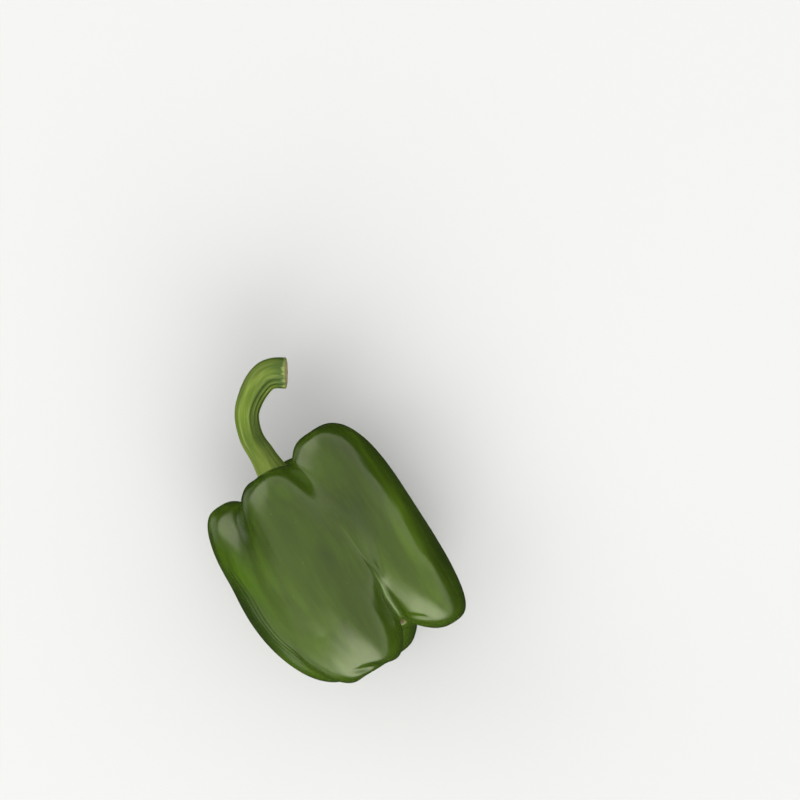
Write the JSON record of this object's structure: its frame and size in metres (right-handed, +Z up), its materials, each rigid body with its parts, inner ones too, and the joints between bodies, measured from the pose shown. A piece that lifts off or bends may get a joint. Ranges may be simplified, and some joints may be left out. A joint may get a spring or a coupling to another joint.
{
  "type": "bell pepper",
  "caption": "Blocky green bell pepper lying on its side, with deep shoulder grooves, a lobed blossom end and a ribbed, hooked stem on its calyx.",
  "frame": {"origin": "middle of the underside of the whole pepper's box, on the surface that it lies on", "axes": "+X along the fruit toward the stem, +Y across it, +Z up from the surface that it lies on"},
  "size_m": [0.1266, 0.0786, 0.0715],
  "materials": {
    "pepper_skin": "smooth waxy skin with a soft sheen",
    "green_stem": "fibrous, ribbed and matte"
  },
  "bodies": {
    "root": {"pepper_body": "pepper_skin", "stem_and_calyx": "green_stem"}
  },
  "joints": []
}
